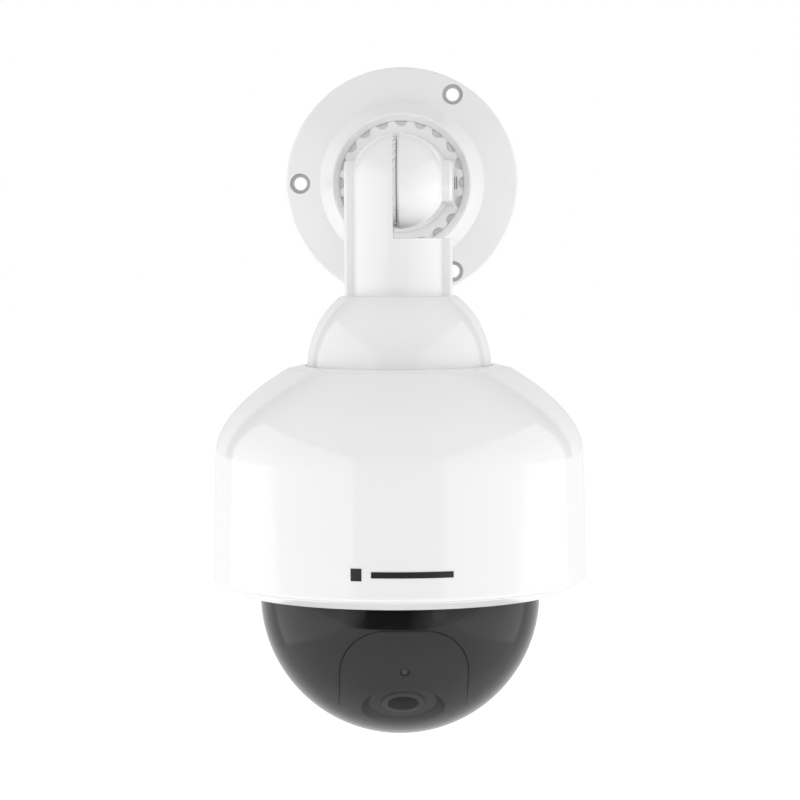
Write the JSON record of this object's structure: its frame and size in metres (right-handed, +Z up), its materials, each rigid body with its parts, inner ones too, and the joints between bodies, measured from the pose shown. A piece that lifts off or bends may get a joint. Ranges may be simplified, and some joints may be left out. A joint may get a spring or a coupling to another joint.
{
  "type": "dome cctv camera",
  "caption": "Outdoor pan and tilt dome camera hanging from a folding wall bracket, with a white bell housing and a smoked dome.",
  "frame": {"origin": "centre of the wall flange's back face, on the wall plane", "axes": "+Z up, front of the camera faces -Y, +Y points into the wall"},
  "size_m": [0.151, 0.1695, 0.2727],
  "materials": {
    "white_metal": "gloss",
    "white_shell": "gloss",
    "seal_rubber": "matte",
    "screw_steel": "satin",
    "plate_metal": "satin",
    "friction_fibre": "matte",
    "bearing_steel": "polished",
    "motor_can": "satin",
    "brass": "satin",
    "gear_nylon": "satin",
    "circuit_board": "satin",
    "black_parts": "satin",
    "terminal_green": "satin",
    "yoke_plastic": "matte",
    "ball_grey": "satin",
    "smoked_dome": "gloss",
    "clear_lens": "polished",
    "led_clear": "gloss"
  },
  "bodies": {
    "bracket": {"wall_flange": "white_metal", "flange_gasket": "seal_rubber"},
    "lock_ring": {"lock_ring": "white_metal"},
    "arm": {"wall_arm": "white_metal", "arm_root_plate": "plate_metal", "root_plate_screws": "screw_steel", "friction_disc": "friction_fibre", "knuckle_bolt": "screw_steel", "arm_bolt_cap": "white_metal"},
    "pendant": {"drop_tube": "white_metal", "ratchet_ring": "white_metal", "knuckle_nut": "screw_steel", "nut_washer": "screw_steel", "tube_bolt_cap": "white_metal", "tube_screws": "screw_steel", "neck_dome": "white_shell", "neck_gasket": "seal_rubber", "neck_screws": "screw_steel", "housing_shell": "white_shell", "cable_grommet": "seal_rubber", "chassis_plate": "plate_metal", "chassis_screws": "screw_steel", "pan_bearing": "bearing_steel", "pan_motor": "motor_can", "main_board": "circuit_board", "board_standoffs": "brass", "board_parts": "black_parts", "terminal_block": "terminal_green", "slip_ring_stator": "black_parts", "bottom_bezel": "white_shell", "bezel_screws": "screw_steel", "dome_seal": "seal_rubber", "dome_cover": "smoked_dome", "dome_clamp_ring": "plate_metal", "clamp_screws": "screw_steel"},
    "pan_pinion": {"pan_pinion": "brass"},
    "pan_head": {"pan_yoke": "yoke_plastic", "pan_gear": "gear_nylon", "pan_circlip": "screw_steel", "slip_ring_rotor": "black_parts", "tilt_bushes": "brass", "tilt_motor": "motor_can"},
    "tilt_pinion": {"tilt_pinion": "brass"},
    "ball": {"ball_shell": "ball_grey", "lens_panel": "ball_grey", "tilt_axles": "screw_steel", "tilt_gear": "gear_nylon", "camera_cradle": "yoke_plastic", "camera_board": "circuit_board", "image_sensor": "black_parts", "lens_holder": "black_parts", "status_led": "led_clear"},
    "lens": {"lens_barrel": "black_parts", "lens_glass": "clear_lens"}
  },
  "joints": [
    {"name": "lock_ring_turn", "type": "hinge", "parent": "bracket", "child": "lock_ring", "pos_m": [0, -0.012, 0], "axis": [0, -1, 0], "range_deg": [0, 90]},
    {"name": "arm_swivel", "type": "hinge", "parent": "bracket", "child": "arm", "pos_m": [0, -0.012, 0], "axis": [0, -1, 0], "range_deg": [-90, 90]},
    {"name": "knuckle_fold", "type": "hinge", "parent": "arm", "child": "pendant", "pos_m": [0, -0.094, 0], "axis": [-1, 0, 0], "range_deg": [0, 90]},
    {"name": "pan", "type": "hinge", "parent": "pendant", "child": "pan_head", "pos_m": [0, -0.094, -0.104], "axis": [0, 0, 1], "continuous": true},
    {"name": "pan_pinion_spin", "type": "hinge", "parent": "pendant", "child": "pan_pinion", "pos_m": [0.0376, -0.094, -0.1], "axis": [0, 0, 1], "continuous": true},
    {"name": "tilt", "type": "hinge", "parent": "pan_head", "child": "ball", "pos_m": [0, -0.094, -0.1663], "axis": [-0.9986, -0.0523, 0], "range_deg": [-35, 44]},
    {"name": "tilt_pinion_spin", "type": "hinge", "parent": "pan_head", "child": "tilt_pinion", "pos_m": [0.02996, -0.09243, -0.1454], "axis": [-0.9986, -0.0523, 0], "range_deg": [-150, 150]},
    {"name": "lens_focus", "type": "hinge", "parent": "ball", "child": "lens", "pos_m": [0, -0.094, -0.1663], "axis": [0.0303, -0.5785, -0.8151], "range_deg": [-180, 180]}
  ],
  "couplings": [
    {"joint": "pan_pinion_spin", "follows": "pan", "ratio": -4},
    {"joint": "tilt_pinion_spin", "follows": "tilt", "ratio": -3.3333}
  ]
}
